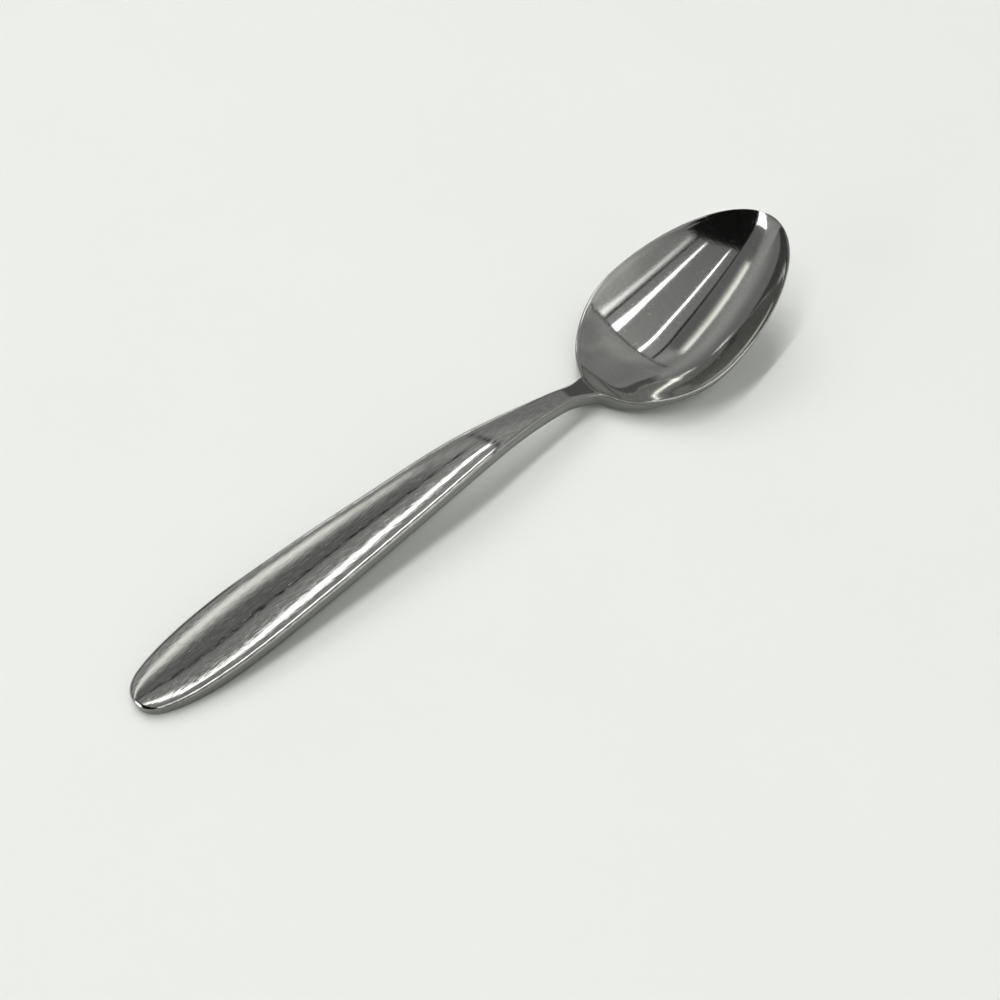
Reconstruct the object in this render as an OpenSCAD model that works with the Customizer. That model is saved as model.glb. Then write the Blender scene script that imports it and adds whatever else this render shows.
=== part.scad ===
// Teaspoon pressed from stainless sheet, lying on a table as it rests in use.
// X runs along the spoon from the handle end to the bowl tip, Y to its left, Z up.
// The origin is on the table, under the middle of the spoon.

/* [Overall] */
// Length from the handle end to the bowl tip
overall_length = 155; // [130:1:190]

/* [Bowl] */
// Length of the bowl from its heel to its tip
bowl_length = 49; // [42:0.5:59]
// Width across the rim
bowl_width = 34.6; // [26:0.2:41]
// Distance from the tip back to the widest place
bowl_widest_back = 29; // [24:0.5:33]
// Distance from the tip back to the deepest place
bowl_deepest_back = 25; // [21:0.5:30]
// Depth of the inside below the rim
bowl_depth = 8; // [6.5:0.1:10]
// Rise of the rim from where it dips beside the heel up to the tip
tip_rise = 15.6; // [12:0.1:18]
// Thickness of the sheet in the bowl
bowl_sheet = 1.3; // [0.9:0.05:1.8]

/* [Neck] */
// Width of the flat top of the neck
neck_width = 3.6; // [3:0.1:5]
// Thickness of the neck
neck_thickness = 3.3; // [2.4:0.1:4]
// Length of the neck from the handle to the heel
neck_length = 18; // [14:0.5:22]
// Radius of the fillet between the neck and the heel
shoulder_radius = 2.4; // [1.5:0.1:4]
// How much each side of the neck widens as it runs into the heel
root_flare = 1.5; // [0.5:0.1:2.5]

/* [Handle] */
// Width of the top face at its widest
handle_width = 14.3; // [10:0.1:18]
// Distance from the handle end to the widest place
handle_widest = 25; // [20:1:32]
// Thickness of the side wall at the widest place
handle_thickness = 3.4; // [2.4:0.1:4.2]
// Rise of the top face from its edges to its middle
handle_crown = 0.7; // [0.3:0.05:1.5]
// Depth of the hollow along the underside
underside_hollow = 0.7; // [0:0.1:1.2]
// Thickness of the side wall at the handle end, which rests on the table
end_thickness = 2.3; // [1.8:0.1:2.8]
// Height of the top edge above the table at the arch
arch_height = 10; // [8:0.1:13]
// Distance from the heel back to the top of the arch
arch_back = 28; // [20:0.5:30]

/* [Edges] */
// How far the side wall stands out beyond the top edge of the handle
handle_edge = 0.2; // [0.1:0.05:0.5]
// How far the rim stands out beyond the inner edge of the bowl
rim_edge = 0.2; // [0.1:0.05:0.4]
// How far the lower edge of the handle lies inside its top edge
handle_undercut = 0.25; // [0:0.05:0.8]
// How far the lower edge of the rim lies inside its top edge
rim_undercut = 0.3; // [0:0.05:0.6]
// Width of the rolled edge of the handle's top face
handle_roll_width = 1.2; // [0.6:0.1:2]
// Drop of the rolled edge of the handle's top face
handle_roll_drop = 0.3; // [0.1:0.05:0.5]
// Width of the rolled edge of the rim
rim_roll_width = 0.5; // [0.3:0.1:1]
// Drop of the rolled edge of the rim
rim_roll_drop = 0.15; // [0.05:0.05:0.3]

/* [Hidden] */
steel = [0.62, 0.62, 0.6];

// Places along the spoon, measured from the handle end
heel = overall_length - bowl_length;
tip_edge = overall_length - rim_edge;
end_edge = handle_edge;
bowl_widest = overall_length - bowl_widest_back;
bowl_deepest = overall_length - bowl_deepest_back;
arch = heel - arch_back;
neck_end = heel - 1;
neck_start = neck_end - neck_length;
// Where the rim dips lowest beside the heel, where it starts to climb, and where the handle's edge has faded
rim_dip = heel + 1.5;
rim_climb = heel + 8;
edge_fade_end = heel + 4;
// Where the bowl's own rows start, and where its outline has left the neck's
bowl_start = bowl_widest - 4;
outline_apart = bowl_widest - 8;

// Roundness of the plan outline: 2 is an ellipse, more is blunter, less is more pointed
end_round = 2.5;
heel_round = 1.76;
tip_round = 1.92;

// Shape of the hollow: across the bowl, towards the heel and towards the tip
dish_across = 2.2;
dish_to_heel = 1.4;
dish_to_tip = 0.7;

// Half-width from the handle's widest place to the neck in even steps, as shares between the two
taper_shares = [1, 0.885, 0.705, 0.5, 0.168];
// Length over which the neck widens into the heel
root_length = 4.5;
// Share of the neck's length where it has become narrowest, and where the crown has run out
neck_narrow = 0.6;
neck_flat = 0.5;
// Top edge near the handle end: share of the way to the widest place, and share of the arch's height
end_knot = 0.32;
end_climb = 0.06;
// Share of the arch's height at the widest place
widest_climb = 0.345;
// Top edge on the way up to the arch: share of the way, and share of the arch's height
mid_knot = 0.54;
mid_climb = 0.74;
// Top edge on the way down to the heel: share of the way, and share of the height left
descent_knot = 0.69;
descent_left = 0.62;
// Rim past the widest place: how far, and the share of the tip's rise there and where the climb starts
rim_past = 6;
rim_past_rise = 0.45;
rim_climb_rise = 0.075;
// Side wall near the handle end, as a share between its two thicknesses, and at the root of the neck
end_wall = 0.8;
root_wall = 1.1;
// Rim's thickness in sheets at two shares of the way from the heel to the widest place, there and at the tip
heel_wall_places = [0.25, 0.6];
heel_walls = [2, 1.35];
widest_wall = 1.25;
tip_wall = 1.15;
// Share of the rolled edge left at the handle end, and the length over which it grows whole
end_roll = 0.4;
end_roll_length = 14;
// Lengths over which the underside turns into the bowl's, and its hollow runs out and in
underside_blend = 9;
hollow_run_out = 30;
hollow_run_in = 12;
// Steepest squared slope along which the bowl's sheet is thickened
steepest = 1.2;
// Widest rolled edge, as a share of the half-width
roll_limit = 0.35;
// Step between two places where a slope is measured
slope_step = 0.2;
// How the crown follows the width of the handle: 1 keeps its slope, less keeps its height
crown_power = 0.6;

// Mesh: rows along each piece, columns across, and steps down the side wall as [down, out] shares
end_rows = 14;
grip_rows = 20;
neck_rows = 16;
heel_rows = 14;
bowl_rows = 22;
columns = 14;
wall_steps = [[0.06, 0.8], [0.16, 1], [0.5, 1], [0.85, 0.9]];
edge_steps = len(wall_steps);
// Half-width where the closing rows of each end turn into an arc
end_arc = 4.2;
tip_arc = 5.5;

function lerp(a, b, t) = a + (b - a) * t;
function clamp01(t) = min(1, max(0, t));
function ease(t) = let (u = clamp01(t)) u * u * (3 - 2 * u);

// Smooth curve through knots [place, value], with the slope at each knot taken from its neighbours
function knot_slope(k, i) =
    let (a = max(0, i - 1), b = min(len(k) - 1, i + 1))
    (k[b][1] - k[a][1]) / (k[b][0] - k[a][0]);
function segment(k, x, i = 0) = (i >= len(k) - 2 || x < k[i + 1][0]) ? i : segment(k, x, i + 1);
function curve(k, x) =
    let (i = segment(k, x), h = k[i + 1][0] - k[i][0], t = clamp01((x - k[i][0]) / h))
    let (u = 1 - t)
    u * u * (1 + 2 * t) * k[i][1] + t * t * (3 - 2 * t) * k[i + 1][1]
    + h * t * u * (u * knot_slope(k, i) - t * knot_slope(k, i + 1));

// Rounded end of an outline: half-width at distance d from its widest place, out of reach a
function round_end(d, a, half, power) = half * pow(max(0, 1 - pow(clamp01(d / a), power)), 1 / power);
// The same end the other way round: distance from the widest place at half-width y
function round_reach(y, a, half, power) = a * pow(max(0, 1 - pow(clamp01(abs(y) / half), power)), 1 / power);

// Half-width of the handle and neck
taper_steps = len(taper_shares) - 1;
function taper_knot(i) = [
    lerp(handle_widest, neck_start, i / taper_steps),
    lerp(neck_width, handle_width, taper_shares[i]) / 2
];
handle_taper = concat(
    [for (i = [0:taper_steps]) taper_knot(i)],
    [
        [lerp(neck_start, neck_end, neck_narrow), neck_width / 2],
        [heel - root_length, neck_width / 2],
        [rim_dip, neck_width / 2 + root_flare]
    ]
);
function handle_half(x) =
    x < handle_widest
    ? round_end(handle_widest - x, handle_widest - end_edge, handle_width / 2, end_round)
    : curve(handle_taper, x);

// Half-width of the bowl
bowl_half_width = bowl_width / 2 - rim_edge;
function bowl_half(x) =
    x < bowl_widest
    ? round_end(bowl_widest - x, bowl_widest - heel, bowl_half_width, heel_round)
    : round_end(x - bowl_widest, tip_edge - bowl_widest, bowl_half_width, tip_round);

// The two outlines blended at the shoulders
function shoulder(a, b, r) = let (h = max(0, r - abs(a - b))) max(a, b) + h * h / (4 * r);
function half_width(x) =
    x < outline_apart ? shoulder(handle_half(x), bowl_half(x), shoulder_radius) : bowl_half(x);

// Rise of the top face above its edges: the handle's crown, nothing on the neck, the bowl's hollow
// The crown follows the width and has run out half-way along the neck
crown_run_out = 14;
crown_end = lerp(neck_start, neck_end, neck_flat);
crown_fade_from = neck_start - crown_run_out;
function crown(x) =
    handle_crown * pow(half_width(x) / (handle_width / 2), crown_power)
    * (1 - ease((x - crown_fade_from) / (crown_end - crown_fade_from)));
function hollow(x) =
    let (back = clamp01((bowl_deepest - x) / (bowl_deepest - heel)))
    let (front = clamp01((x - bowl_deepest) / (tip_edge - bowl_deepest)))
    x < bowl_deepest ? bowl_depth * pow(1 - back * back, dish_to_heel)
    : bowl_depth * pow(1 - front * front, dish_to_tip);
// Rise of the rim above its dip beside the heel
rim_knots = [
    [rim_dip, 0],
    [rim_climb, tip_rise * rim_climb_rise],
    [bowl_widest + rim_past, tip_rise * rim_past_rise],
    [overall_length, tip_rise]
];
// The bowl's keel sets the height of the rim, so that the bowl rests on a small worn flat
rest_wear = 0.12;
function inner_keel(x) = curve(rim_knots, x) - hollow(x);
function keel(x) =
    let (slope = (inner_keel(x + slope_step) - inner_keel(x - slope_step)) / (2 * slope_step))
    inner_keel(x) - bowl_sheet * sqrt(1 + slope * slope);
heel_height = -rest_wear - min([for (x = [rim_climb:0.5:bowl_deepest]) keel(x)]);

// Height of the top edge above the table
edge_knots = concat(
    [
        [end_edge, end_thickness],
        [handle_widest * end_knot, lerp(end_thickness, arch_height, end_climb)],
        [handle_widest, lerp(end_thickness, arch_height, widest_climb)],
        [lerp(handle_widest, arch, mid_knot), lerp(end_thickness, arch_height, mid_climb)],
        [arch, arch_height],
        [lerp(arch, heel, descent_knot), lerp(heel_height, arch_height, descent_left)]
    ],
    [for (k = rim_knots) [k[0], k[1] + heel_height]]
);
function edge_height(x) = curve(edge_knots, x);
function rise(x) = x < heel ? crown(x) : -hollow(x);
function across(x) = x < heel ? 2 : dish_across;

// Thickness of the side wall, and the underside's own hollow
wall_knots = [
    [end_edge, end_thickness],
    [handle_widest * end_knot, lerp(end_thickness, handle_thickness, end_wall)],
    [handle_widest, handle_thickness],
    [arch, neck_thickness],
    [neck_end, neck_thickness * root_wall],
    [lerp(heel, bowl_widest, heel_wall_places[0]), bowl_sheet * heel_walls[0]],
    [lerp(heel, bowl_widest, heel_wall_places[1]), bowl_sheet * heel_walls[1]],
    [bowl_widest, bowl_sheet * widest_wall],
    [overall_length, bowl_sheet * tip_wall]
];
function wall(x) = curve(wall_knots, x);
function share(x, y) = let (w = half_width(x)) w < 0.01 ? 1 : min(1, abs(y) / w);

// From the handle's value to the bowl's value along the neck
function handle_to_bowl(x, handle_value, bowl_value) =
    lerp(handle_value, bowl_value, ease((x - neck_start) / (edge_fade_end - neck_start)));
// The rolled edge is smaller round the handle end
function roll_share(x) = lerp(end_roll, 1, ease(x / end_roll_length));
function roll_width(x) = roll_share(x) * handle_to_bowl(x, handle_roll_width, rim_roll_width);
function roll_drop(x) = roll_share(x) * handle_to_bowl(x, handle_roll_drop, rim_roll_drop);
// How far the rolled edge has dropped at a share q of the half-width
function edge_roll(x, q) =
    let (w = half_width(x), d = slope_step, lean = (half_width(x + d) - half_width(x - d)) / (2 * d))
    let (in_from_edge = (1 - q) * w / sqrt(1 + lean * lean))
    let (width = min(roll_width(x), roll_limit * w + 0.01))
    roll_drop(x) * pow(max(0, 1 - in_from_edge / width), 2);
function top_z(x, y) =
    let (q = share(x, y))
    edge_height(x) + roll_share(x) * handle_to_bowl(x, handle_roll_drop, 0) - edge_roll(x, q)
    + rise(x) * (1 - pow(q, across(x)));

// The underside runs parallel to the bowl's inside, and is hollowed along the handle
function bowl_slope(x, y) =
    let (d = slope_step, zx = (top_z(x + d, y) - top_z(x - d, y)) / (2 * d))
    let (zy = (top_z(x, y + d) - top_z(x, y - d)) / (2 * d))
    sqrt(1 + min(steepest, zx * zx + zy * zy));
function under_z(x, y) =
    let (q = share(x, y), inside = 1 - pow(q, 2))
    let (bowl_part = ease((x - neck_end) / underside_blend))
    let (fade = ease((neck_start - x) / hollow_run_out) * clamp01(x / hollow_run_in))
    let (lift = underside_hollow * inside * fade)
    let (handle_z = edge_height(x) - wall(x) + lift)
    let (drop = lerp(wall(x), bowl_sheet * bowl_slope(x, y), inside))
    max(0, lerp(handle_z, top_z(x, y) - drop, bowl_part));

// Rows of the mesh: each has its place at the edges and how far it has turned into an arc
function end_row(i) =
    let (t = i / end_rows, y = end_arc)
    let (x0 = handle_widest - round_reach(y, handle_widest - end_edge, handle_width / 2, end_round))
    [lerp(x0, handle_widest, t * t), 1 - ease(t * 1.4)];
function tip_row(i) =
    let (t = i / bowl_rows, y = tip_arc)
    let (x1 = bowl_widest + round_reach(y, tip_edge - bowl_widest, bowl_half_width, tip_round))
    [lerp(bowl_start, x1, 1 - (1 - t) * (1 - t)), ease((t - 0.3) / 0.7)];
function even_rows(a, b, n) = [for (i = [1:n]) [lerp(a, b, i / n), 0]];

// A point of a row in plan, with v running from -1 at the right edge to 1 at the left
function end_reach(y) = -round_reach(y, handle_widest - end_edge, handle_width / 2, end_round);
function tip_reach(y) = round_reach(y, tip_edge - bowl_widest, bowl_half_width, tip_round);
function row_point(row, v) =
    let (x = row[0], w = half_width(x), y = v * w)
    let (end_bend = end_reach(y) - end_reach(w), tip_bend = tip_reach(y) - tip_reach(w))
    let (bend = x < handle_widest ? end_bend : x > bowl_widest ? tip_bend : 0)
    [x + row[1] * bend, y];
// The underside is a little narrower than the top
function undercut_share(x) = 1 - handle_to_bowl(x, handle_undercut, rim_undercut) / half_width(x);

handle_rows = concat([for (i = [0:end_rows]) end_row(i)], even_rows(handle_widest, neck_start, grip_rows));
neck_rows_list = concat([[neck_start, 0]], even_rows(neck_start, neck_end, neck_rows));
bowl_rows_list = concat(
    [[neck_end, 0]],
    [for (i = [1:heel_rows]) [lerp(neck_end, bowl_start, pow(i / heel_rows, 1.5)), 0]],
    [for (i = [1:bowl_rows]) tip_row(i)]
);

// One closed piece between its first and last rows. The outline runs round the piece: up the right
// edge, across an arc at a rounded end, and down the left edge. Flat ends have no edge of their own.
module piece(rows, round_first = false, round_last = false) {
    n = len(rows) - 1;
    m = columns;
    plan = [for (r = rows) [for (j = [0:m]) row_point(r, 2 * j / m - 1)]];
    lower = [for (r = rows) [for (j = [0:m]) row_point(r, (2 * j / m - 1) * undercut_share(r[0]))]];
    grid = (n + 1) * (m + 1);
    function at(i, j) = i * (m + 1) + j;

    right = [for (i = [0:n]) [i, 0]];
    last = round_last ? [for (j = [1:m - 1]) [n, j]] : [];
    left = [for (i = [n:-1:0]) [i, m]];
    first = round_first ? [for (j = [m - 1:-1:1]) [0, j]] : [];
    loop = concat(right, last, left, first);
    count = len(loop);

    // Outward direction of the outline at each of its points, square to a flat end
    function flat_end(c) = (c[0] == 0 && !round_first) || (c[0] == n && !round_last);
    function outward(k) =
        let (c = loop[k], a = plan[loop[(k + count - 1) % count][0]][loop[(k + count - 1) % count][1]])
        let (b = plan[loop[(k + 1) % count][0]][loop[(k + 1) % count][1]], d = b - a)
        flat_end(c) ? [0, c[1] == 0 ? -1 : 1] : [d[1], -d[0]] / norm(d);
    // The side wall leans in towards the lower edge and has rounded corners
    function wall_point(k, s) =
        let (c = loop[k], p = plan[c[0]][c[1]], foot = lower[c[0]][c[1]])
        let (down = wall_steps[s - 1][0], out = wall_steps[s - 1][1])
        let (bulge = handle_to_bowl(p[0], handle_edge, rim_edge))
        let (q = lerp(p, foot, down) + outward(k) * bulge * out)
        [q[0], q[1], max(0, lerp(top_z(p[0], p[1]), under_z(foot[0], foot[1]), down))];

    points = concat(
        [for (row = plan) for (p = row) [p[0], p[1], top_z(p[0], p[1])]],
        [for (row = lower) for (p = row) [p[0], p[1], under_z(p[0], p[1])]],
        [for (s = [1:edge_steps]) for (k = [0:count - 1]) wall_point(k, s)]
    );
    function ring(s, k) =
        let (c = loop[k % count], p = at(c[0], c[1]))
        s == 0 ? p : s > edge_steps ? grid + p : 2 * grid + (s - 1) * count + k % count;

    function quad(a, b, c, d) = [[a, b, c], [a, c, d]];
    top = [for (i = [0:n - 1]) for (j = [0:m - 1])
        each quad(at(i, j), at(i, j + 1), at(i + 1, j + 1), at(i + 1, j))];
    under = [for (f = top) [f[2] + grid, f[1] + grid, f[0] + grid]];
    // The band skips the flat ends, which are closed by a strip and a fan at each side
    function open_gap(k) =
        let (a = loop[k], b = loop[(k + 1) % count])
        (a[1] == 0 && b[1] == m) || (a[1] == m && b[1] == 0);
    band = [for (k = [0:count - 1]) if (!open_gap(k)) for (s = [0:edge_steps])
        each quad(ring(s, k), ring(s, k + 1), ring(s + 1, k + 1), ring(s + 1, k))];
    function flat_cap(i, k_right, k_left) = concat(
        [for (j = [0:m - 1]) each quad(at(i, j), grid + at(i, j), grid + at(i, j + 1), at(i, j + 1))],
        [for (s = [1:edge_steps]) [at(i, 0), ring(s, k_right), ring(s + 1, k_right)]],
        [for (s = [1:edge_steps]) [at(i, m), ring(s + 1, k_left), ring(s, k_left)]]
    );
    function turned(faces) = [for (f = faces) [f[2], f[1], f[0]]];
    first_cap = round_first ? [] : flat_cap(0, 0, n + len(last) + 1 + n);
    last_cap = round_last ? [] : turned(flat_cap(n, n, n + len(last) + 1));

    translate([-overall_length / 2, 0, 0])
        polyhedron(points, concat(top, under, band, first_cap, last_cap));
}

module bowl() {
    color(steel) piece(bowl_rows_list, round_last = true);
}

module neck() {
    color(steel) piece(neck_rows_list);
}

module handle() {
    color(steel) piece(handle_rows, round_first = true);
}

bowl();
neck();
handle();
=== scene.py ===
import math

import bmesh
import bpy
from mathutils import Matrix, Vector


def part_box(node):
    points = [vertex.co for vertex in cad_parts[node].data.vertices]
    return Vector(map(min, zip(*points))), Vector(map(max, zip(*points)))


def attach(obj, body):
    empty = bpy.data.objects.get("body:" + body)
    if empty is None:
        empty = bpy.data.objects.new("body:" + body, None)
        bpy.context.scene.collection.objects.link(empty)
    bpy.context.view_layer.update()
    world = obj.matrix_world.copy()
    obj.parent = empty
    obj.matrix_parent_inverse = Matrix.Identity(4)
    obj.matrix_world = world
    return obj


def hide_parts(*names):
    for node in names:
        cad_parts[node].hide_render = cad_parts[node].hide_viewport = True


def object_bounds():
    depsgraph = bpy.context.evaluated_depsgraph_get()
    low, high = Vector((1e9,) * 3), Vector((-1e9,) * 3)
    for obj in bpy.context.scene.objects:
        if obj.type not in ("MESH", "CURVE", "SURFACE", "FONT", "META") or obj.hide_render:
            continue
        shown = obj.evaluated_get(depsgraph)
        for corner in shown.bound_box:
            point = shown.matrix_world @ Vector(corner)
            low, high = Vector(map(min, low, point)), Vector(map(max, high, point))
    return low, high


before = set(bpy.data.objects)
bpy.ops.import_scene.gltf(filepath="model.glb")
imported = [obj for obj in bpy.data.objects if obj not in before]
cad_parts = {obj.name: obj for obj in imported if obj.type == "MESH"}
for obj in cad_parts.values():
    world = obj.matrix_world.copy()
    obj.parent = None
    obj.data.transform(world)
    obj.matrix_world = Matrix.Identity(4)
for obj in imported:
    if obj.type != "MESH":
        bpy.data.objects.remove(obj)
cadLow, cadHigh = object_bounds()
mm = 0.001
print("frame loaded", sorted(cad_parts))

# Sizes that the frame gives, in millimetres from the handle end
bowlLow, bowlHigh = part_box("bowl")
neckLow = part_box("neck")[0]
handleLow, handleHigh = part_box("handle")
spoonLength = (cadHigh.x - cadLow.x) / mm
neckStart = (neckLow.x - cadLow.x) / mm
neckEnd = (bowlLow.x - cadLow.x) / mm

# The outline in plan, seen from above
outlineShape = {
    "handleWidest": 25,      # from the handle end
    "taper": [               # share of the way to the neck, and of the handle's extra width left there
        (0.25, 0.885), (0.5, 0.705), (0.75, 0.5), (1, 0.168),
    ],
    "neckNarrow": 0.6,       # share of the neck where it has its own width
    "neckWidth": 3.6,        # flat top of the neck
    "bowlWidest": 126,
    "heel": 106,             # where the bowl's own outline would close
    "bowlAlone": 8,          # before the widest place, where the outline is the bowl's alone
    "handleEdge": 0.2,       # side wall beyond the top edge
    "rimEdge": 0.2,
    "edgeChange": 4,         # past the heel, where the handle's edge has become the rim
    "handleUndercut": 0.25,  # lower edge inside the top edge
    "rimUndercut": 0.3,
    "shoulderRadius": 2.4,
    "rootFlare": 1.5,        # the neck widens into the heel
    "rootLength": 4.5,
    "rootPast": 1.5,         # past the heel, where the flare is whole and the rim starts
    "endRound": 2.5,         # 2 is an ellipse, more is blunter
    "heelRound": 1.76,
    "tipRound": 1.92,
    "endArc": 4.2,           # half-width where the closing rows become an arc
    "tipArc": 5.5,
}

# Heights above the table, and how thick the metal is
profileShape = {
    "endThickness": 2.3,
    "handleThickness": 3.4,
    "neckThickness": 3.3,
    "bowlSheet": 1.3,
    "endWall": 0.8,              # share of the handle's extra thickness at the end knot
    "rootWall": 1.1,             # times the neck's thickness, where the neck ends
    "rimWalls": [(0.25, 2.0), (0.6, 1.35), (1, 1.25)],   # share of heel to widest, times the sheet
    "tipWall": 1.15,
    "sheetRunIn": 9,             # past the neck, where the underside has come to follow the bowl
    "steepest": 1.2,             # square of the slope up to which the sheet keeps its thickness
    "handleCrown": 0.7,
    "crownPower": 0.6,           # how the crown follows the width: 1 keeps its slope
    "crownRunOut": 14,           # the crown fades from this far before the neck
    "crownEnd": 0.5,             # to this share of the neck
    "handleRoll": (1.2, 0.3),    # width and drop of the rolled top edge
    "rimRoll": (0.5, 0.15),
    "rollLimit": 0.35,           # widest roll, as a share of the half-width
    "endRoll": (0.4, 14),        # share of the roll left at the handle end, and where it is whole
    "undersideHollow": 0.7,
    "hollowEnds": (12, 30),      # lengths over which it starts and fades
    "archHeight": 10,
    "archBack": 28,              # from the heel
    "endKnot": (0.32, 0.06),     # share of the way to the widest place, and of the climb to the arch
    "widestClimb": 0.345,
    "midKnot": (0.54, 0.74),     # share of the way from there to the arch, and of the climb
    "descentKnot": (0.69, 0.62),     # share of the way from the arch to the heel, and of the drop left
    "bowlDepth": 8.0,
    "bowlDeepest": 130,
    "tipRise": 15.6,
    "rimClimb": (8, 0.075),      # past the heel, and the share of the rise there
    "rimPast": (6, 0.45),        # past the widest place, and the share of the rise there
    "restWear": 0.12,
    "dishAcross": 2.2,
    "dishToHeel": 1.4,
    "dishToTip": 0.7,
}

# Control mesh of the pressing: rows along it, columns across and the edge's rounding
meshShape = {
    "endRows": 12,
    "endTurn": 1.4,          # how soon they have turned from an arc into straight rows
    "gripRows": 18,
    "neckRows": 8,
    "heelRows": 14,
    "heelSpread": 1.5,       # more crowds them towards the neck
    "bowlRows": 18,
    "bowlRowsFrom": 4,       # before the widest place
    "tipTurn": 0.3,          # share of them after which they turn into an arc
    "columns": 12,
    "edgeColumns": [0.06, 0.28, 0.6, 0.95, 1.35],    # millimetres in from the edge
    "edgeColumnsFrom": 4.5,  # half-width under which these draw together
    "wallSteps": [(0.03, 0.6), (0.08, 0.9), (0.16, 1.0), (0.5, 1.0), (0.85, 0.9)],   # down, out
    "subdivision": 2,
}

shape = {**outlineShape, **profileShape, **meshShape}
probe = 0.2          # millimetres each way, to measure a slope
pointWidth = 0.01    # half-width of a row that counts as a point
keelStep = 0.5       # between the places where the keel is measured
handleHalf = (handleHigh.y - handleLow.y) / mm / 2 - shape["handleEdge"]
bowlHalf = (bowlHigh.y - bowlLow.y) / mm / 2 - shape["rimEdge"]
tipEdge = spoonLength - shape["rimEdge"]
archPlace = shape["heel"] - shape["archBack"]


def lerp(a, b, t):
    return a + (b - a) * t


def clamp(t):
    return min(1.0, max(0.0, t))


def ease(t):
    u = clamp(t)
    return u * u * (3 - 2 * u)


def slopeAt(height, x):
    return (height(x + probe) - height(x - probe)) / (2 * probe)


# A smooth curve through knots (place, value)
def curveThrough(knots, x):
    i = 0
    while i < len(knots) - 2 and x >= knots[i + 1][0]:
        i += 1

    def slope(k):
        a, b = max(0, k - 1), min(len(knots) - 1, k + 1)
        return (knots[b][1] - knots[a][1]) / (knots[b][0] - knots[a][0])

    h = knots[i + 1][0] - knots[i][0]
    t = clamp((x - knots[i][0]) / h)
    u = 1 - t
    ends = u * u * (1 + 2 * t) * knots[i][1] + t * t * (3 - 2 * t) * knots[i + 1][1]
    return ends + h * t * u * (u * slope(i) - t * slope(i + 1))


def roundedEnd(distance, reach, half, power):
    return half * max(0.0, 1 - clamp(distance / reach) ** power) ** (1 / power)


# Half-width of the plan outline at a place along the spoon
endReach = shape["handleWidest"] - shape["handleEdge"]
tipReach = tipEdge - shape["bowlWidest"]
neckHalf = shape["neckWidth"] / 2
taperKnots = [(shape["handleWidest"], handleHalf)]
for way, left in shape["taper"]:
    taperKnots.append((lerp(shape["handleWidest"], neckStart, way), lerp(neckHalf, handleHalf, left)))
taperKnots += [
    (lerp(neckStart, neckEnd, shape["neckNarrow"]), neckHalf),
    (shape["heel"] - shape["rootLength"], neckHalf),
    (shape["heel"] + shape["rootPast"], neckHalf + shape["rootFlare"]),
]


def handleOutline(x):
    if x < shape["handleWidest"]:
        return roundedEnd(shape["handleWidest"] - x, endReach, handleHalf, shape["endRound"])
    return curveThrough(taperKnots, x)


def bowlOutline(x):
    if x < shape["bowlWidest"]:
        heelReach = shape["bowlWidest"] - shape["heel"]
        return roundedEnd(shape["bowlWidest"] - x, heelReach, bowlHalf, shape["heelRound"])
    return roundedEnd(x - shape["bowlWidest"], tipReach, bowlHalf, shape["tipRound"])


def halfWidth(x):
    bowl = bowlOutline(x)
    if x > shape["bowlWidest"] - shape["bowlAlone"]:
        return bowl
    neck = handleOutline(x)
    h = max(0.0, shape["shoulderRadius"] - abs(neck - bowl))
    return max(neck, bowl) + h * h / (4 * shape["shoulderRadius"])


# Depth of the bowl's hollow below the rim, along its middle
def hollow(x):
    if x < shape["bowlDeepest"]:
        t = clamp((shape["bowlDeepest"] - x) / (shape["bowlDeepest"] - shape["heel"]))
        return shape["bowlDepth"] * (1 - t * t) ** shape["dishToHeel"]
    t = clamp((x - shape["bowlDeepest"]) / (tipEdge - shape["bowlDeepest"]))
    return shape["bowlDepth"] * (1 - t * t) ** shape["dishToTip"]


climbPast, climbRise = shape["rimClimb"]
widestPast, widestRise = shape["rimPast"]
rimKnots = [
    (shape["heel"] + shape["rootPast"], 0),
    (shape["heel"] + climbPast, shape["tipRise"] * climbRise),
    (shape["bowlWidest"] + widestPast, shape["tipRise"] * widestRise),
    (spoonLength, shape["tipRise"]),
]


def bowlFloor(x):
    return curveThrough(rimKnots, x) - hollow(x)


# The keel under the bowl rests on the table, and that sets how high the rim stands
def keel(x):
    slope = slopeAt(bowlFloor, x)
    return bowlFloor(x) - shape["bowlSheet"] * math.sqrt(1 + slope * slope)


keelStart = shape["heel"] + climbPast
keelSteps = int((shape["bowlDeepest"] - keelStart) / keelStep)
heelHeight = -shape["restWear"] - min(keel(keelStart + keelStep * i) for i in range(keelSteps + 1))


def climbed(share):
    return lerp(shape["endThickness"], shape["archHeight"], share)


# Height of the top edge along the spoon
endWay, endClimb = shape["endKnot"]
midWay, midClimb = shape["midKnot"]
descentWay, descentLeft = shape["descentKnot"]
edgeKnots = [
    (shape["handleEdge"], shape["endThickness"]),
    (shape["handleWidest"] * endWay, climbed(endClimb)),
    (shape["handleWidest"], climbed(shape["widestClimb"])),
    (lerp(shape["handleWidest"], archPlace, midWay), climbed(midClimb)),
    (archPlace, shape["archHeight"]),
    (lerp(archPlace, shape["heel"], descentWay), lerp(heelHeight, shape["archHeight"], descentLeft)),
]
edgeKnots += [(x, z + heelHeight) for x, z in rimKnots]

# The crown follows the width and runs out along the neck
crownFrom = neckStart - shape["crownRunOut"]
crownEnd = lerp(neckStart, neckEnd, shape["crownEnd"])


def crown(x):
    fade = 1 - ease((x - crownFrom) / (crownEnd - crownFrom))
    return shape["handleCrown"] * (halfWidth(x) / handleHalf) ** shape["crownPower"] * fade


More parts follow.
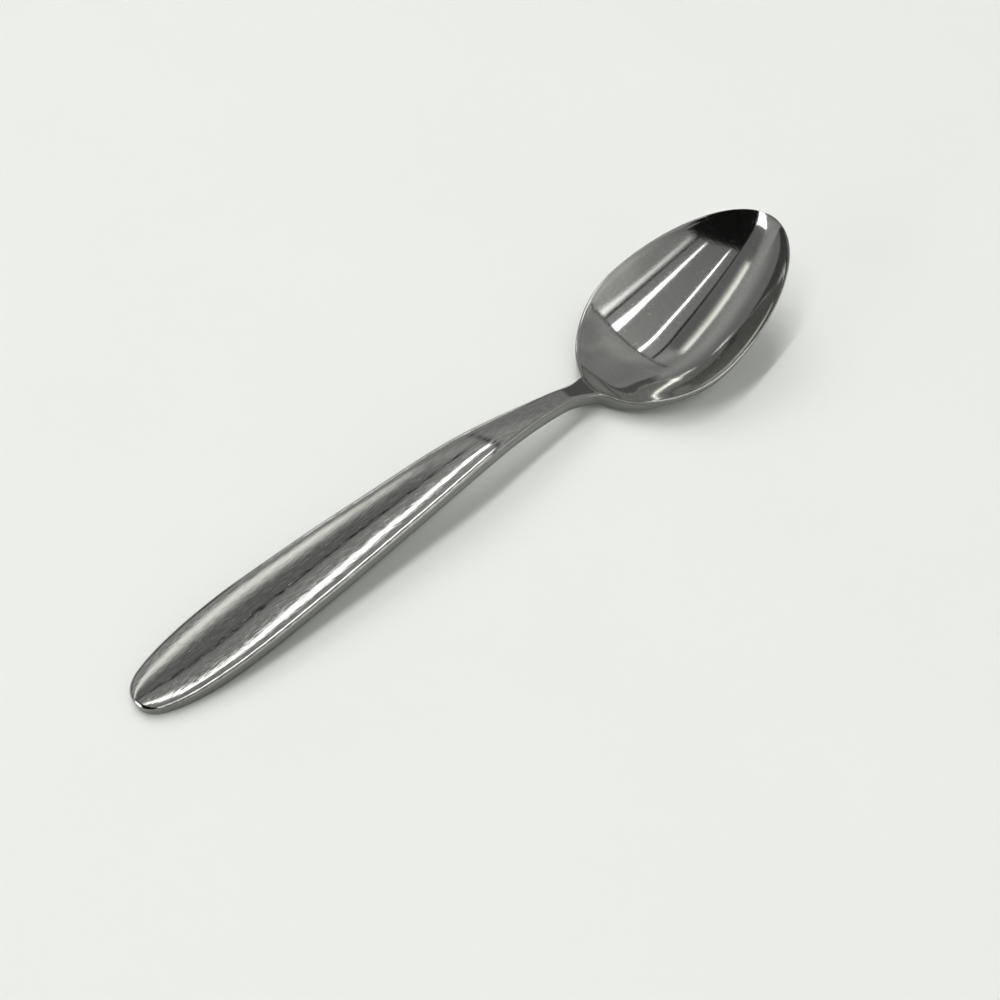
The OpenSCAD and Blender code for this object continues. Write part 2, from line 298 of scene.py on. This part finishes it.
# Height of the side wall along the spoon
wallKnots = [
    (shape["handleEdge"], shape["endThickness"]),
    (shape["handleWidest"] * endWay,
     lerp(shape["endThickness"], shape["handleThickness"], shape["endWall"])),
    (shape["handleWidest"], shape["handleThickness"]),
    (archPlace, shape["neckThickness"]),
    (neckEnd, shape["neckThickness"] * shape["rootWall"]),
]
for way, sheets in shape["rimWalls"]:
    wallKnots.append((lerp(shape["heel"], shape["bowlWidest"], way), shape["bowlSheet"] * sheets))
wallKnots.append((spoonLength, shape["bowlSheet"] * shape["tipWall"]))


def edgeShare(x, y):
    w = halfWidth(x)
    return 1.0 if w < pointWidth else min(1.0, abs(y) / w)


# From the handle's value to the bowl's value along the neck
def handleToBowl(x, handleValue, bowlValue):
    changeEnd = shape["heel"] + shape["edgeChange"]
    return lerp(handleValue, bowlValue, ease((x - neckStart) / (changeEnd - neckStart)))


def rollShare(x):
    share, length = shape["endRoll"]
    return lerp(share, 1, ease(x / length))


# How far the rolled edge has dropped at a point of the top
def edgeRoll(x, q):
    w = halfWidth(x)
    lean = slopeAt(halfWidth, x)
    inFromEdge = (1 - q) * w / math.sqrt(1 + lean * lean)
    width = rollShare(x) * handleToBowl(x, shape["handleRoll"][0], shape["rimRoll"][0])
    width = min(width, shape["rollLimit"] * w + pointWidth)
    drop = rollShare(x) * handleToBowl(x, shape["handleRoll"][1], shape["rimRoll"][1])
    return drop * max(0.0, 1 - inFromEdge / width) ** 2


def topHeight(x, y):
    q = edgeShare(x, y)
    raised = rollShare(x) * handleToBowl(x, shape["handleRoll"][1], 0)
    edge = curveThrough(edgeKnots, x) + raised - edgeRoll(x, q)
    if x < shape["heel"]:
        return edge + crown(x) * (1 - q * q)
    return edge - hollow(x) * (1 - q ** shape["dishAcross"])


def underHeight(x, y):
    inside = 1 - edgeShare(x, y) ** 2
    wall = curveThrough(wallKnots, x)
    start, fade = shape["hollowEnds"]
    lift = shape["undersideHollow"] * inside * ease((neckStart - x) / fade) * clamp(x / start)
    handleZ = curveThrough(edgeKnots, x) - wall + lift
    slopeX = slopeAt(lambda p: topHeight(p, y), x)
    slopeY = slopeAt(lambda p: topHeight(x, p), y)
    steep = min(shape["steepest"], slopeX ** 2 + slopeY ** 2)
    bowlZ = topHeight(x, y) - lerp(wall, shape["bowlSheet"] * math.sqrt(1 + steep), inside)
    return max(0.0, lerp(handleZ, bowlZ, ease((x - neckEnd) / shape["sheetRunIn"])))


# A row has its place at the edges, how far it has turned into an arc round an end, and its piece's number
def spoonRows():
    handle, neck, bowl = range(3)
    endX = shape["handleWidest"] - roundedEnd(shape["endArc"], handleHalf, endReach, shape["endRound"])
    tipX = shape["bowlWidest"] + roundedEnd(shape["tipArc"], bowlHalf, tipReach, shape["tipRound"])
    bowlStart = shape["bowlWidest"] - shape["bowlRowsFrom"]
    rows = []
    for i in range(shape["endRows"] + 1):
        t = i / shape["endRows"]
        rows.append((lerp(endX, shape["handleWidest"], t * t), 1 - ease(t * shape["endTurn"]), handle))
    for i in range(1, shape["gripRows"] + 1):
        rows.append((lerp(shape["handleWidest"], neckStart, i / shape["gripRows"]), 0, handle))
    for i in range(1, shape["neckRows"] + 1):
        rows.append((lerp(neckStart, neckEnd, i / shape["neckRows"]), 0, neck))
    for i in range(1, shape["heelRows"] + 1):
        t = (i / shape["heelRows"]) ** shape["heelSpread"]
        rows.append((lerp(neckEnd, bowlStart, t), 0, bowl))
    for i in range(1, shape["bowlRows"] + 1):
        t = i / shape["bowlRows"]
        turned = ease((t - shape["tipTurn"]) / (1 - shape["tipTurn"]))
        rows.append((lerp(bowlStart, tipX, 1 - (1 - t) ** 2), turned, bowl))
    return rows


def rowPoint(row, v):
    x, arc, _ = row
    w = halfWidth(x)
    y = v * w
    if arc and x < shape["handleWidest"]:
        bend = roundedEnd(abs(y), handleHalf, endReach, shape["endRound"])
        x -= arc * (bend - roundedEnd(w, handleHalf, endReach, shape["endRound"]))
    elif arc:
        bend = roundedEnd(abs(y), bowlHalf, tipReach, shape["tipRound"])
        x += arc * (bend - roundedEnd(w, bowlHalf, tipReach, shape["tipRound"]))
    return Vector((x, y))


# Places across a row, from -1 at the right edge to 1 at the left, close together near the edges
def rowColumns(row):
    w = halfWidth(row[0])
    together = min(1.0, w / shape["edgeColumnsFrom"]) / w
    outer = [1 - step * together for step in [0.0] + shape["edgeColumns"]]
    n = shape["columns"]
    inner = [(2 * j / n - 1) * outer[-1] for j in range(1, n)]
    return [-v for v in outer] + inner + outer[::-1]


# The underside is a little narrower than the top
def undercutShare(x):
    return 1 - handleToBowl(x, shape["handleUndercut"], shape["rimUndercut"]) / halfWidth(x)


# The whole pressing as one closed control mesh, with each face marked by its piece
def pressControlMesh():
    rows = spoonRows()
    plan = [[rowPoint(row, v) for v in rowColumns(row)] for row in rows]
    lower = [[rowPoint(row, v * undercutShare(row[0])) for v in rowColumns(row)] for row in rows]
    n, m = len(rows) - 1, len(plan[0]) - 1
    bm = bmesh.new()

    def place(x, y, z):
        return bm.verts.new(((x - spoonLength / 2) * mm, y * mm, z * mm))

    top = [[place(p.x, p.y, topHeight(p.x, p.y)) for p in line] for line in plan]
    under = [[place(p.x, p.y, underHeight(p.x, p.y)) for p in line] for line in lower]
    loop = [(i, 0) for i in range(n + 1)] + [(n, j) for j in range(1, m)]
    loop += [(i, m) for i in range(n, -1, -1)] + [(0, j) for j in range(m - 1, 0, -1)]
    count = len(loop)

    def outward(k):
        (a, b), (c, d) = loop[k - 1], loop[(k + 1) % count]
        along = plan[c][d] - plan[a][b]
        return Vector((along.y, -along.x)).normalized()

    rings = [[top[i][j] for i, j in loop]]
    for down, out in shape["wallSteps"]:
        ring = []
        for k, (i, j) in enumerate(loop):
            p, foot = plan[i][j], lower[i][j]
            bulge = handleToBowl(p.x, shape["handleEdge"], shape["rimEdge"])
            q = p.lerp(foot, down) + outward(k) * bulge * out
            z = lerp(topHeight(p.x, p.y), underHeight(foot.x, foot.y), down)
            ring.append(place(q.x, q.y, max(0.0, z)))
        rings.append(ring)
    rings.append([under[i][j] for i, j in loop])

    def face(verts, piece):
        bm.faces.new(verts).material_index = piece

    for i in range(n):
        piece = rows[i + 1][2]
        for j in range(m):
            face((top[i][j], top[i + 1][j], top[i + 1][j + 1], top[i][j + 1]), piece)
            face((under[i][j], under[i][j + 1], under[i + 1][j + 1], under[i + 1][j]), piece)
    for k in range(count):
        after = (k + 1) % count
        piece = rows[max(loop[k][0], loop[after][0])][2]
        for above, below in zip(rings, rings[1:]):
            face((above[k], below[k], below[after], above[after]), piece)
    for f in bm.faces:
        f.smooth = True
    mesh = bpy.data.meshes.new("pressing")
    bm.to_mesh(mesh)
    bm.free()
    return mesh


# The pressing is smoothed whole, then cut into its pieces, so no seam shows where they meet
def cutPieces(names):
    mesh = pressControlMesh()
    whole = bpy.data.objects.new("pressing", mesh)
    bpy.context.scene.collection.objects.link(whole)
    for _ in names:
        mesh.materials.append(None)
    smooth = whole.modifiers.new("smooth", "SUBSURF")
    smooth.levels = smooth.render_levels = shape["subdivision"]
    bpy.context.view_layer.update()
    ready = bpy.data.meshes.new_from_object(whole.evaluated_get(bpy.context.evaluated_depsgraph_get()))
    bpy.data.objects.remove(whole)
    normals = [v.normal.copy() for v in ready.vertices]
    pieces = {}
    for number, name in enumerate(names):
        bm = bmesh.new()
        bm.from_mesh(ready)
        kept = bm.verts.layers.float_vector.new("pressNormal")
        for v in bm.verts:
            v[kept] = normals[v.index]
        bmesh.ops.delete(bm, geom=[f for f in bm.faces if f.material_index != number], context="FACES")
        caps = bmesh.ops.holes_fill(bm, edges=[e for e in bm.edges if e.is_boundary])["faces"]
        caps = bmesh.ops.triangulate(bm, faces=caps)["faces"]
        for f in bm.faces:
            f.material_index = 0
        for f in caps:
            f.material_index = 1
        piece = bpy.data.meshes.new(name)
        bm.to_mesh(piece)
        bm.free()
        saved = [Vector(item.vector) for item in piece.attributes["pressNormal"].data]
        corners = []
        for f in piece.polygons:
            flat = f.material_index == 1
            corners += [f.normal.copy() if flat else saved[v] for v in f.vertices]
            f.material_index = 0
        piece.normals_split_custom_set(corners)
        piece.attributes.remove(piece.attributes["pressNormal"])
        obj = bpy.data.objects.new(name, piece)
        bpy.context.scene.collection.objects.link(obj)
        pieces[name] = obj
    return pieces


# Shader maths: a socket that can be used in plain expressions
class Wire:
    def __init__(self, tree, socket):
        self.tree = tree
        self.socket = socket

    def maths(self, operation, first, second):
        node = self.tree.nodes.new("ShaderNodeMath")
        node.operation = operation
        connect(self.tree, node.inputs[0], first)
        connect(self.tree, node.inputs[1], second)
        return Wire(self.tree, node.outputs[0])

    def __add__(self, other):
        return self.maths("ADD", self, other)

    def __radd__(self, other):
        return self.maths("ADD", other, self)

    def __sub__(self, other):
        return self.maths("SUBTRACT", self, other)

    def __rsub__(self, other):
        return self.maths("SUBTRACT", other, self)

    def __mul__(self, other):
        return self.maths("MULTIPLY", self, other)

    def __rmul__(self, other):
        return self.maths("MULTIPLY", other, self)

    def __truediv__(self, other):
        return self.maths("DIVIDE", self, other)

    def __rtruediv__(self, other):
        return self.maths("DIVIDE", other, self)

    def pick(self, name):
        return Wire(self.tree, self.socket.node.outputs[name])


def connect(tree, socket, value):
    if isinstance(value, Wire):
        tree.links.new(value.socket, socket)
    else:
        socket.default_value = value


class Sheet:
    def __init__(self, tree):
        self.tree = tree
        tree.nodes.clear()

    def add(self, kind, settings=None, sockets=None):
        node = self.tree.nodes.new("ShaderNode" + kind)
        for name, value in (settings or {}).items():
            setattr(node, name, value)
        for name, value in (sockets or {}).items():
            connect(self.tree, node.inputs[name], value)
        return Wire(self.tree, node.outputs[0]) if node.outputs else None

    def between(self, value, low, high):
        return self.add("MapRange", {"interpolation_type": "SMOOTHSTEP"},
                        {"Value": value, "From Min": low, "From Max": high})

    def stripe(self, value, low, high, soft):
        rises = self.between(value, low - soft, low + soft)
        falls = self.between(value, high - soft, high + soft)
        return rises * (1 - falls)

    # A Mix node's colour sockets go by number, because others there have the same names
    def mixColours(self, share, first, second):
        return self.add("Mix", {"data_type": "RGBA"}, {0: share, 6: first, 7: second}).pick(2)


steelFinish = {
    "light": (0.67, 0.68, 0.64, 1),
    "dark": (0.5, 0.51, 0.475, 1),
    "shadedSides": (0.2, 0.205, 0.19, 1),      # painted shade: side walls coloured darker, standing in for the shadowed table they mirror
    "shadedSidesFrom": (0.1, 0.4),             # square of the normal's rise, from side wall to top
    "roughness": (0.07, 0.09),           # in the bowl and on the handle
    "grainRoughness": (0.03, 0.08),
    "grainTone": (0.2, 0.8),
    "pitTone": 0.8,
    "cloudRoughness": 0.02,
    "cloudNoise": {"Scale": 130.0, "Detail": 4.0},
    "relief": 0.0000015,                 # metres, depth of the brushed grain
    "polish": (0.012, 0.034),            # metres along the spoon, where the satin turns into polish
}

# Marks in the surface: how many to a metre along and across, turn in degrees, and where the noise counts
steelMarks = {
    "grain": ((280, 4000, 4000), 0, 0.35, 0.7),
    "rings": ((3200, 300, 3200), -14, 0.35, 0.7),
    "nicks": ((220, 3600, 3600), 7, 0.68, 0.76),
    "strays": ((140, 4200, 4200), -24, 0.68, 0.76),
    "pits": ((2100, 2100, 2100), 0, 0.78, 0.84),
}
markNoise = {"Scale": 1.0, "Detail": 2.0, "Roughness": 0.6}
# What a mark adds to the roughness, and how many times the grain's relief it is deep
markWear = {"nicks": (0.15, 1.6), "strays": (0.2, 1.3), "pits": (0.1, 2.0)}


def marks(sheet, place, name):
    size, turn, low, high = steelMarks[name]
    turned = sheet.add("Mapping", {}, {
        "Vector": place, "Rotation": (0, 0, math.radians(turn)), "Scale": size})
    noise = sheet.add("TexNoise", {}, {"Vector": turned, **markNoise})
    return sheet.between(noise, low, high)


def steelMaterial():
    material = bpy.data.materials.new("stainlessSteel")
    material.use_nodes = True
    sheet = Sheet(material.node_tree)
    place = sheet.add("TexCoord").pick("Object")
    along = sheet.add("SeparateXYZ", {}, {"Vector": place})
    rise = sheet.add("SeparateXYZ", {}, {"Vector": sheet.add("TexCoord").pick("Normal")}).pick("Z")
    # Painted shade: where the normal lies near level, the colour turns to the darker side-wall tone
    sideways = 1 - sheet.between(rise * rise, *steelFinish["shadedSidesFrom"])
    polish = sheet.between(along, *steelFinish["polish"])
    satin = 1 - polish
    mark = {name: marks(sheet, place, name) for name in steelMarks}
    brushed = mark["grain"] * satin + mark["rings"] * polish
    cloud = sheet.add("TexNoise", {}, {"Vector": place, **steelFinish["cloudNoise"]})

    def bowlToHandle(name):
        bowlValue, handleValue = steelFinish[name]
        return polish * bowlValue + satin * handleValue

    roughness = bowlToHandle("roughness")
    roughness = roughness + (brushed - 0.5) * bowlToHandle("grainRoughness")
    roughness = roughness + (cloud - 0.5) * steelFinish["cloudRoughness"]
    relief = brushed
    for name, (rougher, deeper) in markWear.items():
        roughness = roughness + mark[name] * rougher
        relief = relief - mark[name] * deeper
    bump = sheet.add("Bump", {}, {
        "Strength": 1.0, "Distance": steelFinish["relief"], "Height": relief})
    grainTone = bowlToHandle("grainTone")
    tone = cloud * (1 - grainTone) + brushed * grainTone - mark["pits"] * steelFinish["pitTone"]
    colour = sheet.mixColours(tone, steelFinish["dark"], steelFinish["light"])
    # The painted shade goes onto the side walls here
    colour = sheet.mixColours(sideways, colour, steelFinish["shadedSides"])
    shader = sheet.add("BsdfPrincipled", {}, {
        "Base Color": colour, "Metallic": 1.0, "Roughness": roughness, "Normal": bump})
    sheet.add("OutputMaterial", {}, {"Surface": shader})
    return material


steel = steelMaterial()
pieces = cutPieces(["handle_steel", "neck_steel", "bowl_steel"])     # in the order of the rows' numbers
for name, obj in pieces.items():
    node = name.split("_")[0]
    obj.data.materials.clear()
    obj.data.materials.append(steel)
    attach(obj, "root")
    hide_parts(node)
    print("piece", name, len(obj.data.polygons), "faces")


tableTop = {
    "size": 8.0,
    "squares": 8,
    "colour": (0.77, 0.79, 0.745, 1),
    "roughness": 0.55,
    "mottle": 0.03,          # share of the colour lost in the darker spots
    "mottleNoise": {"Scale": 22.0, "Detail": 5.0},
}


def makeTable():
    bm = bmesh.new()
    squares = tableTop["squares"]
    bmesh.ops.create_grid(bm, x_segments=squares, y_segments=squares, size=tableTop["size"] / 2)
    mesh = bpy.data.meshes.new("table")
    bm.to_mesh(mesh)
    bm.free()
    table = bpy.data.objects.new("table", mesh)
    bpy.context.scene.collection.objects.link(table)
    material = bpy.data.materials.new("tablePaint")
    material.use_nodes = True
    sheet = Sheet(material.node_tree)
    place = sheet.add("TexCoord").pick("Object")
    mottle = sheet.add("TexNoise", {}, {"Vector": place, **tableTop["mottleNoise"]})
    r, g, b, _ = tableTop["colour"]
    fade = 1 - tableTop["mottle"]
    colour = sheet.mixColours(mottle, (r * fade, g * fade, b * fade, 1), tableTop["colour"])
    shader = sheet.add("BsdfPrincipled", {}, {"Base Color": colour, "Roughness": tableTop["roughness"]})
    sheet.add("OutputMaterial", {}, {"Surface": shader})
    mesh.materials.append(material)


makeTable()
print("table ready")

# Soft light: long lamps overhead give the near shadow, and a broad sun the faint wide one
lampPlan = {
    "height": 3.0,
    "long": [                # sideways and along from the spoon, length, width and watts
        (0.555, -0.375, 3.86, 0.15, 50),
        (-1.35, -0.375, 3.86, 0.3, 6),
    ],
    "turn": 13.5,            # degrees from the line of the spoon
    "sunFrom": (0.15, 0.62, 0.77),
    "sunStrength": 0.9,
    "sunSpread": 40,         # degrees, softens the shadow
}


def addLamp(name, kind, power, place):
    light = bpy.data.lights.new(name, kind)
    light.energy = power
    lamp = bpy.data.objects.new(name, light)
    lamp.location = Vector(place)
    lamp.visible_glossy = False
    bpy.context.scene.collection.objects.link(lamp)
    return lamp


def makeLamps():
    for number, (aside, along, length, width, power) in enumerate(lampPlan["long"]):
        lamp = addLamp(f"longLamp{number}", "AREA", power, (along, aside, lampPlan["height"]))
        lamp.data.shape = "RECTANGLE"
        lamp.data.size, lamp.data.size_y = length, width
        lamp.rotation_euler.z = math.radians(lampPlan["turn"])
    sun = addLamp("sun", "SUN", lampPlan["sunStrength"], lampPlan["sunFrom"])
    sun.data.angle = math.radians(lampPlan["sunSpread"])
    sun.rotation_euler = sun.location.to_track_quat("Z", "Y").to_euler()


# The room that the metal mirrors, drawn by direction, whose parts are x, y and z. Places on the ceiling are
# taken over its height: along X, and sideways from lines that run a little askew to the spoon.
# Where no note says otherwise, two numbers are the ends of a soft edge
roomPlan = {
    "askew": 0.24,
    "lowest": 0.05,              # least height that places on the ceiling are taken over
    "endWall": (0.27, 0.36),     # tone low down and high up
    "endWallRise": (0.64, 0.78),
    "leftWall": 0.38,
    "leftWallFrom": (0.9, 1.5),
    "rightWall": (0.2, 0.56),    # tone at the unlit end and at the other
    "rightWallTo": (-1.3, -0.75),
    "rightWallLit": (-0.45, 0.0),    # from one to the other
    "patchy": 0.6,               # light and dark over the walls
    "patchNoise": {"Scale": 3.5, "Detail": 3.0},
    "roofAbove": (0.3, 0.4),
    "ceiling": 0.16,
    "ceilingSide": (1.05, 0.12),     # where it stops, and how softly
    "panel": 0.3,                # pale panel with two tubes
    "panelGlow": 0.12,           # and paler towards its end
    "panelSides": (-0.67, 0.46),     # right and left
    "panelSoft": 0.01,
    "panelEnd": 0.505,
    "panelEndSoft": (0.02, 0.03),    # before and after
    "panelEndBow": (0.15, -0.15),    # its end bows away on both sides of the second number
    "panelEndSlant": 0.1,
    "gap": 0.02,                 # dark joints beside the panel
    "gapWidth": 0.045,
    "endJoint": 0.1,             # joint across its end
    "endJointPast": 0.02,
    "endJointSoft": 0.02,
    "endJointSides": (-1.3, 1.0, 0.1),   # with the soft edge
    "tubes": [                   # place, half-width, strength, soft edge and flare
        (-0.42, 0.053, 3.0, 0.02, 0.05),
        (0.215, 0.02, 4.2, 0.02, 0.012),
        (-0.81, 0.03, 1.7, 0.06, 0.03),
    ],
    "tubeStart": (-0.78, -0.72),
    "warmLamp": (0.97, 0.32, 0.18, 1.15),    # place, glow on its two sides and strength
    "warmEnd": (0.12, 0.32),
    "warmTint": (1.0, 0.985, 0.94),
    "dark": 0.008,               # unlit end of the room
    "darkFrom": (-0.82, -0.78),
    "darkAbove": (0.05, 0.12),
    "darkSides": (-1.05, 0.48),      # right and left
    "darkSoft": 0.03,
    "slit": 3.0,                 # bright slit beside it
    "slitGap": 0.02,
    "slitSide": 1.2,
    "slitFrom": (-1.65, -1.5),
    "slitAbove": (0.12, 0.2),
    "lowShade": 0.1,             # shade low down beyond the bowl, and round the corner
    "shadeFrom": (0.5, 0.62),
    "shadeTop": (-0.2, -0.16),       # soft edge of z less y
    "shadeTo": (0.72, 0.78),
    "cornerFrom": (0.57, 0.64),
    "cornerTop": (0.3, 0.38),
    "lowLeftWall": 0.2,
    "lowLeftFrom": (0.7, 0.74),
    "lowLeftTop": (0.28, 0.55),
    "underWindow": 0.06,
    "underWindowTop": (0.16, 0.18),
    "window": 3.0,
    "windowHeight": (0.18, 0.24, 0.012),     # with the soft edge
    "windowSpan": (0.1, 0.59, 0.06),
    "foot": 0.5,                 # pale floor seen far away
    "footTop": (0.01, 0.04),
}


# The room's sheet, with the parts of a direction and the tone that has been painted so far
class RoomSheet(Sheet):
    def __init__(self, tree):
        super().__init__(tree)
        self.way = self.add("TexCoord").pick("Generated")
        self.x = self.add("SeparateXYZ", {}, {"Vector": self.way})
        self.y, self.z = self.x.pick("Y"), self.x.pick("Z")
        height = self.z.maths("MAXIMUM", self.z, roomPlan["lowest"])
        self.along = self.x / height
        self.aside = self.y / height - self.along * roomPlan["askew"]
        self.tone = 0

    def rises(self, value, name):
        return self.between(value, *roomPlan[name])

    def falls(self, value, name):
        return 1 - self.rises(value, name)

    def paint(self, mask, tone):
        self.tone = self.tone + (tone - self.tone) * mask


def paintWalls(room):
    low, high = roomPlan["endWall"]
    room.tone = low + room.rises(room.z, "endWallRise") * (high - low)
    room.paint(room.rises(room.aside, "leftWallFrom"), roomPlan["leftWall"])
    dim, lit = roomPlan["rightWall"]
    rightWall = dim + room.rises(room.x, "rightWallLit") * (lit - dim)
    room.paint(room.falls(room.aside, "rightWallTo"), rightWall)
    patches = room.add("TexNoise", {}, {"Vector": room.way, **roomPlan["patchNoise"]})
    room.tone = room.tone * (1 + (patches - 0.5) * roomPlan["patchy"])


# Ceiling with the panel, its joints and the tubes. What comes back says where the tubes are lit
def paintRoof(room):
    right, left = roomPlan["panelSides"]
    end, gap, soft = roomPlan["panelEnd"], roomPlan["gapWidth"], roomPlan["panelSoft"]
    bow, middle = roomPlan["panelEndBow"]
    before, after = roomPlan["panelEndSoft"]
    off = room.aside - middle
    bowed = room.along + room.aside * roomPlan["panelEndSlant"] - off * off * bow
    inRoof = (1 - room.between(bowed, end - before, end + after)) * room.rises(room.z, "roofAbove")
    ceiling = room.stripe(room.aside, left, *roomPlan["ceilingSide"])
    room.paint(inRoof * room.falls(room.along, "warmEnd") * ceiling, roomPlan["ceiling"])
    panel = roomPlan["panel"] + room.along * roomPlan["panelGlow"]
    room.paint(inRoof * room.stripe(room.aside, right, left, soft), panel)
    rightJoint = room.stripe(room.aside, right - gap, right, soft)
    leftJoint = room.stripe(room.aside, left, left + gap, soft)
    room.paint(inRoof * (rightJoint + leftJoint), roomPlan["gap"])
    crossFrom = end + roomPlan["endJointPast"]
    cross = room.stripe(bowed, crossFrom, crossFrom + gap, roomPlan["endJointSoft"])
    room.paint(cross * room.stripe(room.aside, *roomPlan["endJointSides"]), roomPlan["endJoint"])
    lit = inRoof * room.rises(room.along, "tubeStart")
    for place, half, strength, blur, flare in roomPlan["tubes"]:
        reach = half + room.along * flare
        room.paint(lit * room.stripe(room.aside, place - reach, place + reach, blur), strength)
    return lit


def paintDarkEnd(room):
    low, high = roomPlan["darkSides"]
    soft = roomPlan["darkSoft"]
    unlit = room.falls(room.along, "darkFrom") * room.rises(room.z, "darkAbove")
    room.paint(unlit * room.stripe(room.aside, low, high, soft), roomPlan["dark"])
    beside = room.stripe(room.aside, high + roomPlan["slitGap"], roomPlan["slitSide"], soft)
    slit = room.falls(room.along, "slitFrom") * beside
    room.paint(slit * room.rises(room.z, "slitAbove"), roomPlan["slit"])


def paintLowWalls(room):
    shade = room.rises(room.x, "shadeFrom") * room.falls(room.z - room.y, "shadeTop")
    room.paint(shade * room.falls(room.y, "shadeTo"), roomPlan["lowShade"])
    leftSide = room.rises(room.y, "lowLeftFrom")
    room.paint(leftSide * room.falls(room.z, "lowLeftTop"), roomPlan["lowLeftWall"])
    room.paint(leftSide * room.falls(room.z, "underWindowTop"), roomPlan["underWindow"])
    window = leftSide * room.stripe(room.z, *roomPlan["windowHeight"])
    room.paint(window * room.stripe(room.x, *roomPlan["windowSpan"]), roomPlan["window"])
    corner = room.rises(room.x, "cornerFrom") * room.falls(room.z, "cornerTop")
    room.paint(corner, roomPlan["lowShade"])
    room.paint(room.falls(room.z, "footTop"), roomPlan["foot"])


def makeRoom():
    world = bpy.data.worlds.new("room")
    bpy.context.scene.world = world
    world.use_nodes = True
    room = RoomSheet(world.node_tree)
    paintWalls(room)
    lit = paintRoof(room)
    paintDarkEnd(room)
    paintLowWalls(room)
    place, inward, outward, strength = roomPlan["warmLamp"]
    glow = room.between(room.aside, place - inward, place)
    glow = glow * (1 - room.between(room.aside, place, place + outward))
    warm = lit * room.falls(room.along, "warmEnd") * glow * glow * strength
    red, green, blue = [room.tone + warm * tint for tint in roomPlan["warmTint"]]
    colour = room.add("CombineColor", {}, {"Red": red, "Green": green, "Blue": blue})
    back = room.add("Background", {}, {"Color": colour, "Strength": 1.0})
    room.add("OutputWorld", {}, {"Surface": back})


makeLamps()
makeRoom()
print("light ready")

# The photograph's view, aimed near the spoon's middle
cameraView = {
    "turn": -39.81,          # degrees round
    "rise": 56.0,            # degrees up
    "distance": 0.2634,
    "lens": 40.0,            # degrees across the picture
    "aim": (-0.00102, -0.00717, 0.0),
    "nearest": 0.01,
}


def makeCamera():
    camera = bpy.data.cameras.new("camera")
    camera.sensor_fit = "HORIZONTAL"
    camera.angle = math.radians(cameraView["lens"])
    camera.clip_start = cameraView["nearest"]
    turn, rise = math.radians(cameraView["turn"]), math.radians(cameraView["rise"])
    back = Vector((math.sin(turn) * math.cos(rise), -math.cos(turn) * math.cos(rise), math.sin(rise)))
    eye = bpy.data.objects.new("camera", camera)
    eye.location = Vector(cameraView["aim"]) + back * cameraView["distance"]
    eye.rotation_euler = back.to_track_quat("Z", "Y").to_euler()
    bpy.context.scene.collection.objects.link(eye)
    bpy.context.scene.camera = eye


makeCamera()
print("camera ready")
bpy.context.scene.view_settings.view_transform = "Standard"
